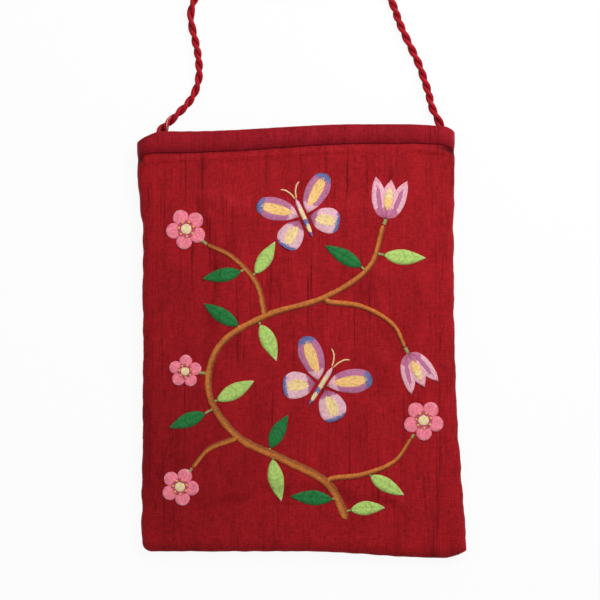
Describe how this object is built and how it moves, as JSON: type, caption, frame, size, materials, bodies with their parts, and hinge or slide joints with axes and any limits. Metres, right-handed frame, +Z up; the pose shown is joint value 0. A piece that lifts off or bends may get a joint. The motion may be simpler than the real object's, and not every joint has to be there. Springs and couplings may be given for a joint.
{
  "type": "passport bag",
  "caption": "Flat red silk neck pouch for a passport, with a zipped mouth, a folded top band, a twisted shoulder cord and an embroidered vine with leaves, blossoms and butterflies",
  "frame": {"origin": "middle of the bag's footprint, without its cord, on the surface that it lies on", "axes": "+Z up, out of the embroidered front; +Y from the base seam to the mouth; +X across the bag, to the right as the front is seen"},
  "size_m": [0.1534, 0.3176, 0.0124],
  "materials": {
    "red_silk": "slubbed silk",
    "red_band_silk": "slubbed silk",
    "lining_cotton": "plain weave",
    "zip_tape": "woven tape",
    "zip_nylon": "gloss",
    "zip_metal": "satin",
    "cord_silk": "twisted cord",
    "tack_thread": "thread",
    "brown_thread": "satin stitch",
    "dark_green_thread": "satin stitch",
    "light_green_thread": "satin stitch",
    "pink_thread": "satin stitch",
    "pale_pink_thread": "satin stitch",
    "cream_thread": "satin stitch",
    "yellow_thread": "satin stitch",
    "lavender_thread": "satin stitch",
    "blue_thread": "satin stitch"
  },
  "bodies": {
    "bag": {"front_panel": "red_silk", "back_panel": "red_silk", "front_lining": "lining_cotton", "back_lining": "lining_cotton", "front_top_band": "red_band_silk", "back_top_band": "red_band_silk", "zip_tape_front": "zip_tape", "zip_tape_back": "zip_tape", "zip_teeth_front": "zip_nylon", "zip_teeth_back": "zip_nylon", "zip_top_stop_front": "zip_metal", "zip_top_stop_back": "zip_metal", "zip_bottom_stop": "zip_metal", "strap_left_run": "cord_silk", "strap_right_run": "cord_silk", "strap_coil": "cord_silk", "cord_tack_left": "tack_thread", "cord_tack_right": "tack_thread", "vine": "brown_thread", "upper_sprig": "brown_thread", "lower_sprig": "brown_thread", "left_sprig": "brown_thread", "right_sprig": "brown_thread", "leaf_01": "dark_green_thread", "leaf_02": "light_green_thread", "leaf_03": "dark_green_thread", "leaf_04": "light_green_thread", "leaf_05": "dark_green_thread", "leaf_06": "light_green_thread", "leaf_07": "dark_green_thread", "leaf_08": "light_green_thread", "leaf_09": "dark_green_thread", "leaf_10": "light_green_thread", "leaf_11": "dark_green_thread", "leaf_12": "light_green_thread", "leaf_13": "light_green_thread", "blossom_01": "pink_thread", "blossom_01_centre": "cream_thread", "blossom_02": "pink_thread", "blossom_02_centre": "cream_thread", "blossom_03": "pink_thread", "blossom_03_centre": "cream_thread", "blossom_04": "pink_thread", "blossom_04_centre": "cream_thread", "tulip_01": "pale_pink_thread", "tulip_01_heart": "yellow_thread", "tulip_02": "pale_pink_thread", "tulip_02_heart": "yellow_thread", "butterfly_01_forewing_left": "lavender_thread", "butterfly_01_forewing_right": "lavender_thread", "butterfly_01_hindwing_left": "blue_thread", "butterfly_01_hindwing_right": "blue_thread", "butterfly_01_body": "cream_thread", "butterfly_02_forewing_left": "lavender_thread", "butterfly_02_forewing_right": "lavender_thread", "butterfly_02_hindwing_left": "blue_thread", "butterfly_02_hindwing_right": "blue_thread", "butterfly_02_body": "cream_thread"},
    "slider": {"zip_slider": "zip_metal"},
    "pull": {"zip_pull": "zip_metal"}
  },
  "joints": [
    {"name": "slider_slide", "type": "slide", "parent": "bag", "child": "slider", "axis": [-1, 0, 0], "range_m": [0, 0.092]},
    {"name": "pull_hinge", "type": "hinge", "parent": "slider", "child": "pull", "pos_m": [0.0481, 0.09582, 0.0054], "axis": [0, 0, -1], "range_deg": [0, 130]}
  ]
}
